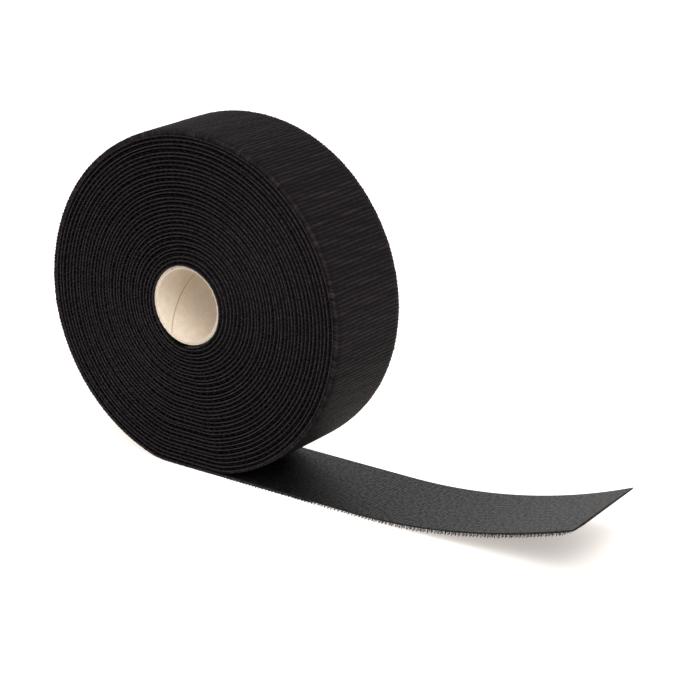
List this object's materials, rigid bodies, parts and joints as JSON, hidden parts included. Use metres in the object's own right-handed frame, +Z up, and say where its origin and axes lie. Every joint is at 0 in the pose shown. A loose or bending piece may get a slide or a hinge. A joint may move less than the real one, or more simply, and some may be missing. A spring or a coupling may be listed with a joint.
{
  "type": "hook tape roll",
  "caption": "Wide black hook fastener tape wound hooks outwards on a paper core, with a free tail that lies on the floor, curls up and bends back on to the roll.",
  "frame": {"origin": "on the floor under the roll's axis, where the tape leaves the roll, at the middle of the tape's width", "axes": "+Z up, Y along the roll's axis with the front face at -Y, +X along the free tail"},
  "size_m": [0.2789, 0.05, 0.1578],
  "materials": {
    "core_paper": "matte",
    "adhesive": "satin",
    "hook_tape": "matte"
  },
  "bodies": {
    "roll": {"core_outer_ply": "core_paper", "core_middle_ply": "core_paper", "core_inner_ply": "core_paper", "start_adhesive_strip": "adhesive", "tape_winding": "hook_tape"},
    "tail_1": {"tape_tail_1": "hook_tape"},
    "tail_2": {"tape_tail_2": "hook_tape"},
    "tail_3": {"tape_tail_3": "hook_tape"},
    "tail_4": {"tape_tail_4": "hook_tape"},
    "tail_5": {"tape_tail_5": "hook_tape"},
    "tail_6": {"tape_tail_6": "hook_tape"}
  },
  "joints": [
    {"name": "tail_bend_1", "type": "hinge", "parent": "roll", "child": "tail_1", "pos_m": [0.02297, 0, 0.0015], "axis": [0, -1, 0], "range_deg": [0, 26], "stiffness_Nm_per_rad": 0.04},
    {"name": "tail_bend_2", "type": "hinge", "parent": "tail_1", "child": "tail_2", "pos_m": [0.05281, 0, 0.0015], "axis": [0, -1, 0], "range_deg": [0, 22], "stiffness_Nm_per_rad": 0.04},
    {"name": "tail_bend_3", "type": "hinge", "parent": "tail_2", "child": "tail_3", "pos_m": [0.08265, 0, 0.0015], "axis": [0, -1, 0], "range_deg": [-1.4, 19.5], "stiffness_Nm_per_rad": 0.04},
    {"name": "tail_bend_4", "type": "hinge", "parent": "tail_3", "child": "tail_4", "pos_m": [0.11235, 0, 0.00227], "axis": [0, -1, 0], "range_deg": [-5.9, 14], "stiffness_Nm_per_rad": 0.04},
    {"name": "tail_bend_5", "type": "hinge", "parent": "tail_4", "child": "tail_5", "pos_m": [0.14176, 0, 0.00612], "axis": [0, -1, 0], "range_deg": [-6.2, 15.5], "stiffness_Nm_per_rad": 0.04},
    {"name": "tail_bend_6", "type": "hinge", "parent": "tail_5", "child": "tail_6", "pos_m": [0.17057, 0, 0.01316], "axis": [0, -1, 0], "range_deg": [-6.2, 14], "stiffness_Nm_per_rad": 0.04}
  ]
}
